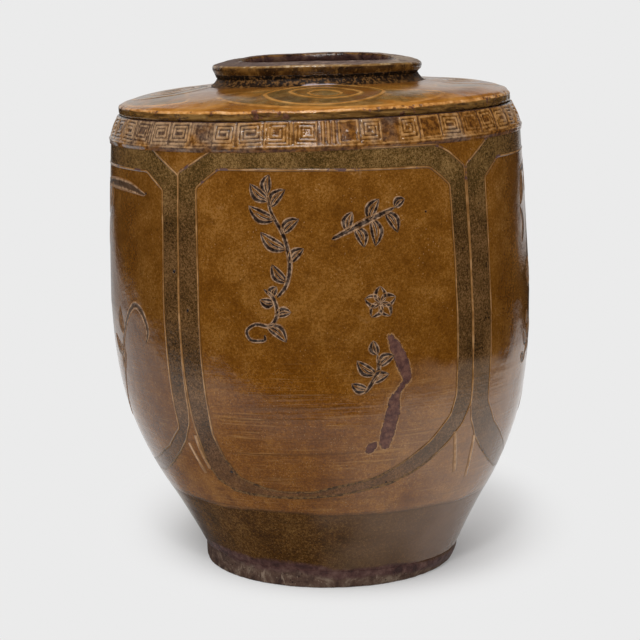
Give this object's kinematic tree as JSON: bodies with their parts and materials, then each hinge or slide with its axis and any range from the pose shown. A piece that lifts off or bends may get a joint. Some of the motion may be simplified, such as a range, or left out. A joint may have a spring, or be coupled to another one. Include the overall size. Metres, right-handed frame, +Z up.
{
  "type": "pickling jar",
  "caption": "Wide glazed stoneware pickling jar with a short rolled rim, a low conical shoulder, a stamped fret band and framed panels drawn in raised slip.",
  "frame": {"origin": "centre of the flat underside of the base slab, on the floor", "axes": "+Z up from the level underside; +Y to the back, the pictured panel faces -Y; above its upright foot the jar is drawn over towards -X, and its mouth tilts 2.06 degrees that way"},
  "size_m": [0.3998, 0.3996, 0.4844],
  "materials": {
    "raw_clay": "unglazed purple-brown fired clay, rough and matte",
    "brown_glaze": "thin dark brown glaze, worn to a dull sheen",
    "amber_glaze": "glossy amber-brown glaze with darker specks",
    "slip_line": "pale orange slip under the same glossy glaze"
  },
  "bodies": {
    "root": {"base_slab": "raw_clay", "foot_section": "brown_glaze", "lower_wall": "amber_glaze", "upper_wall": "amber_glaze", "fret_band": "amber_glaze", "shoulder_slab": "amber_glaze", "neck_collar": "brown_glaze", "mouth_rim": "brown_glaze", "front_panel_outer_line": "slip_line", "front_panel_inner_line": "slip_line", "right_panel_outer_line": "slip_line", "right_panel_inner_line": "slip_line", "back_panel_outer_line": "slip_line", "back_panel_inner_line": "slip_line", "left_panel_outer_line": "slip_line", "left_panel_inner_line": "slip_line", "medallion_line_1": "slip_line", "medallion_line_2": "slip_line", "medallion_line_3": "slip_line", "medallion_line_4": "slip_line", "medallion_eye_1": "slip_line", "medallion_eye_2": "slip_line", "medallion_eye_3": "slip_line", "medallion_eye_4": "slip_line"}
  },
  "joints": []
}
